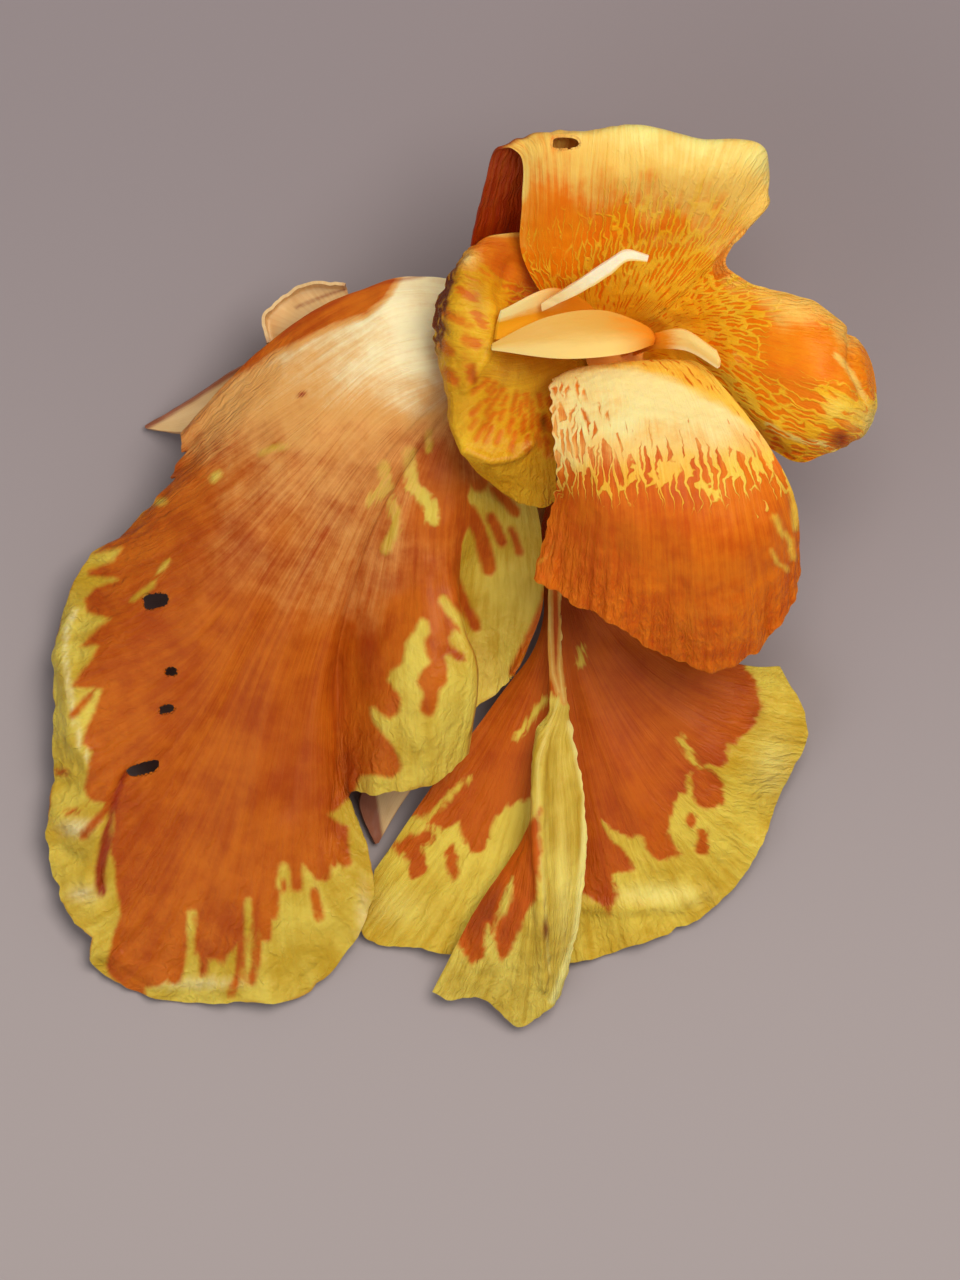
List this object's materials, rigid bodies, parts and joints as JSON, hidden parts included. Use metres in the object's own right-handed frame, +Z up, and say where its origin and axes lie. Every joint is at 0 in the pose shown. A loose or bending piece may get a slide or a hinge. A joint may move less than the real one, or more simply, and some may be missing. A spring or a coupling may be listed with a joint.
{
  "type": "canna flower",
  "caption": "Wilting canna bloom laid on its back: broad orange petals with frilled yellow margins round a pale throat, on a short tube and a warty ovary.",
  "frame": {"origin": "under the middle of the bloom, on the surface that it lies on", "axes": "+X to the right and +Y to the top as one looks down into the flower, +Z up out of the surface"},
  "size_m": [0.1163, 0.1264, 0.0505],
  "materials": {
    "ovary": "matte, warty",
    "flower_tube": "satin",
    "sepal": "matte",
    "true_petal": "satin",
    "left_petal": "satin",
    "fan_petal": "satin",
    "folded_petal": "satin",
    "upper_petal": "satin",
    "cup_petal": "satin",
    "labellum": "satin",
    "stamen": "satin",
    "anther": "matte",
    "style": "satin",
    "small_strip": "satin"
  },
  "bodies": {
    "root": {"ovary": "ovary", "flower_tube": "flower_tube", "sepal_right": "sepal", "sepal_upper": "sepal", "sepal_lower": "sepal", "true_petal_left": "true_petal", "true_petal_curled": "true_petal", "true_petal_lower": "true_petal", "staminode_left": "left_petal", "staminode_fan": "fan_petal", "staminode_folded": "folded_petal", "staminode_upper": "upper_petal", "staminode_cup": "cup_petal", "labellum": "labellum", "stamen": "stamen", "anther": "anther", "style": "style", "staminode_small": "small_strip"}
  },
  "joints": []
}
